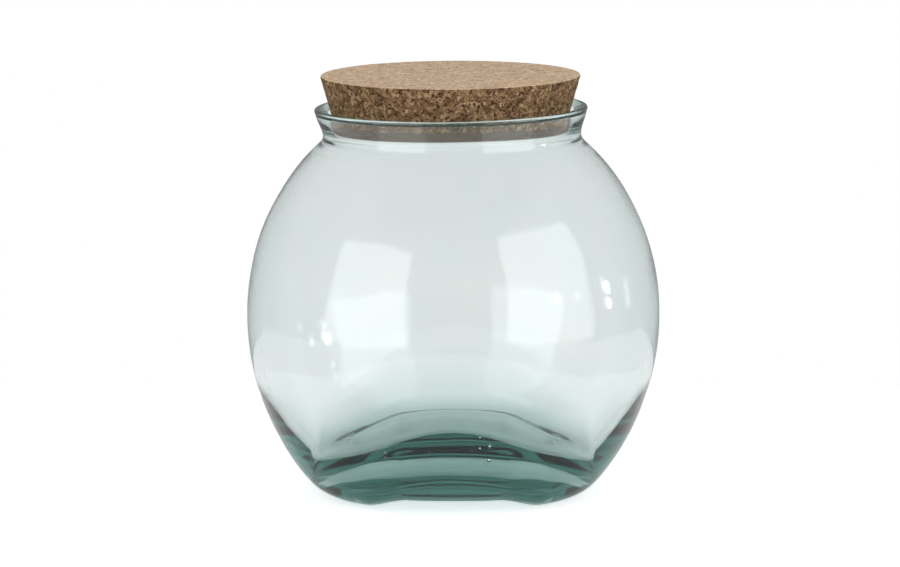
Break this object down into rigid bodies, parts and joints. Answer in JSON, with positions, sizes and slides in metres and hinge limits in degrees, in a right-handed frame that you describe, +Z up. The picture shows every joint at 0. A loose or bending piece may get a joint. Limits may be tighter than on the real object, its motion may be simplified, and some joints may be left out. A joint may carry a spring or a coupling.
{
  "type": "glass storage jar",
  "caption": "Rounded jar of thick green-tinted glass, a little flattened front to back, with a flared lip, an arched, two-footed base and a tapered cork stopper that lifts out.",
  "frame": {"origin": "on the table under the middle of the jar, at the height of its two feet", "axes": "+Z up along the axis of the neck and the cork; +X along the jar's width; +Y from the wide front, which the picture shows, to the back"},
  "size_m": [0.2, 0.188, 0.2038],
  "materials": {
    "glass": "clear recycled glass with a blue-green tint, polished by the fire, with small bubbles",
    "cork": "pressed cork granules, matt, with a sanded top"
  },
  "bodies": {
    "jar": {"glass_jar": "glass"},
    "lid": {"cork_lid": "cork"}
  },
  "joints": [
    {"name": "lid_lift", "type": "slide", "parent": "jar", "child": "lid", "axis": [0, 0, 1], "range_m": [0, 0.08]}
  ]
}
